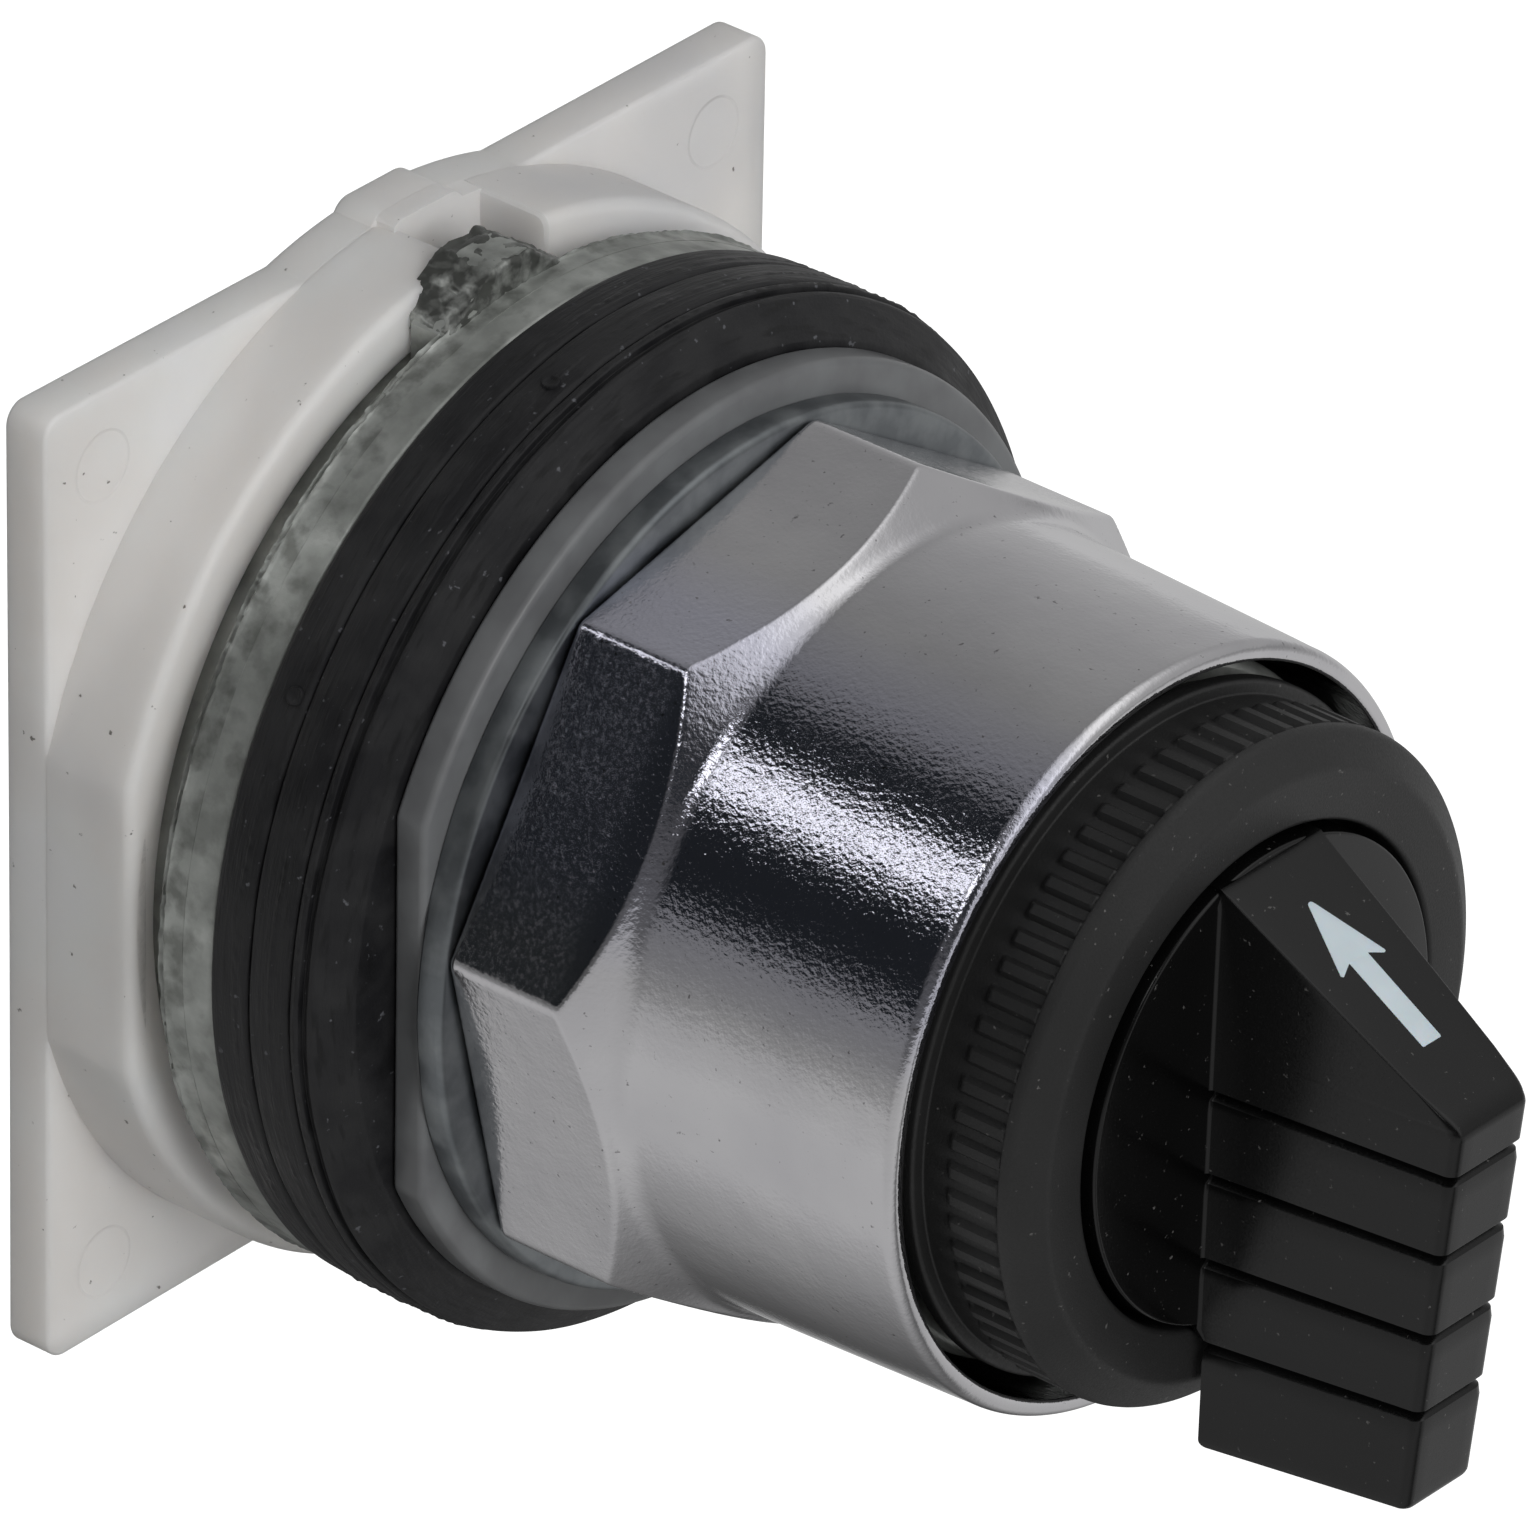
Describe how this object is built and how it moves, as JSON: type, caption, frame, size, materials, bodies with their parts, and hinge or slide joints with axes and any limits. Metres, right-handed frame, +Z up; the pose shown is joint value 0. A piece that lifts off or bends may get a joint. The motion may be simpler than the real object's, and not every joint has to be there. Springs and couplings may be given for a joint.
{
  "type": "selector switch operator",
  "caption": "Panel-mount rotary selector switch operator: grooved lever knob, ribbed bezel, octagonal ring nut, stacked gaskets and a square rear housing.",
  "frame": {"origin": "centre of the panel hole, on the plane where the panel's rear face meets the front gasket", "axes": "+Z up as mounted, with the locating lug at the top; the switch axis runs along Y and the lever faces -Y, out of the panel"},
  "size_m": [0.0448, 0.0596, 0.0463],
  "materials": {
    "die_cast_zinc": "bare die-cast zinc alloy, mottled",
    "housing_plastic": "milky translucent moulding, satin",
    "screw_steel": "zinc-plated steel",
    "gasket_rubber": "matt black rubber",
    "trim_plastic": "smoky translucent moulding",
    "plated_steel": "zinc-plated steel, dull",
    "chrome_plate": "bright chrome plate on a casting",
    "bezel_plastic": "matt black moulding",
    "knob_plastic": "satin black moulding",
    "arrow_plastic": "white moulding",
    "bright_steel": "bright steel",
    "slide_plastic": "natural acetal"
  },
  "bodies": {
    "operator": {"operator_body": "die_cast_zinc", "rear_housing": "housing_plastic", "housing_screws": "screw_steel", "gasket_rear": "gasket_rubber", "gasket_middle": "gasket_rubber", "gasket_front": "gasket_rubber", "bezel_ring": "bezel_plastic", "glide_washer": "slide_plastic", "shaft_seal": "gasket_rubber", "wave_washer": "bright_steel", "detent_spring_upper": "bright_steel", "detent_spring_lower": "bright_steel", "plunger_spring_left": "bright_steel", "plunger_spring_right": "bright_steel"},
    "clamp": {"trim_washer": "trim_plastic", "thrust_washer": "plated_steel"},
    "nut": {"ring_nut": "chrome_plate"},
    "selector": {"knob": "knob_plastic", "pointer_arrow": "arrow_plastic", "spindle": "bright_steel", "spindle_screw": "screw_steel", "detent_wheel": "slide_plastic", "cam": "slide_plastic"},
    "push_left": {"plunger_left": "slide_plastic"},
    "push_right": {"plunger_right": "slide_plastic"},
    "pin_upper": {"detent_pin_upper": "bright_steel"},
    "pin_lower": {"detent_pin_lower": "bright_steel"}
  },
  "joints": [
    {"name": "clamp_travel", "type": "slide", "parent": "operator", "child": "clamp", "axis": [0, -1, 0], "range_m": [0, 0.0045]},
    {"name": "nut_turn", "type": "hinge", "parent": "clamp", "child": "nut", "pos_m": [0, -0.0135, 0], "axis": [0, -1, 0], "range_deg": [0, 1080]},
    {"name": "knob_turn", "type": "hinge", "parent": "operator", "child": "selector", "pos_m": [0, -0.0294, 0], "axis": [0, 1, 0], "range_deg": [-45, 45]},
    {"name": "push_right_travel", "type": "slide", "parent": "operator", "child": "push_right", "axis": [0, 1, 0], "range_m": [-0.0015, 0.0015], "deforming": ["plunger_spring_right"]},
    {"name": "push_left_travel", "type": "slide", "parent": "operator", "child": "push_left", "axis": [0, 1, 0], "range_m": [-0.0015, 0.0015], "deforming": ["plunger_spring_left"]},
    {"name": "pin_upper_travel", "type": "slide", "parent": "operator", "child": "pin_upper", "axis": [0, 0, 1], "range_m": [0, 0.0005], "stiffness_N_per_m": 1000, "springref_m": -0.0005, "deforming": ["detent_spring_upper"]},
    {"name": "pin_lower_travel", "type": "slide", "parent": "operator", "child": "pin_lower", "axis": [0, 0, -1], "range_m": [0, 0.0005], "stiffness_N_per_m": 1000, "springref_m": -0.0005, "deforming": ["detent_spring_lower"]}
  ],
  "couplings": [
    {"joint": "clamp_travel", "follows": "nut_turn", "m_per_rad": 0.0002387},
    {"joint": "push_right_travel", "follows": "knob_turn", "m_per_rad": 0.001909},
    {"joint": "push_left_travel", "follows": "knob_turn", "m_per_rad": -0.001909}
  ]
}
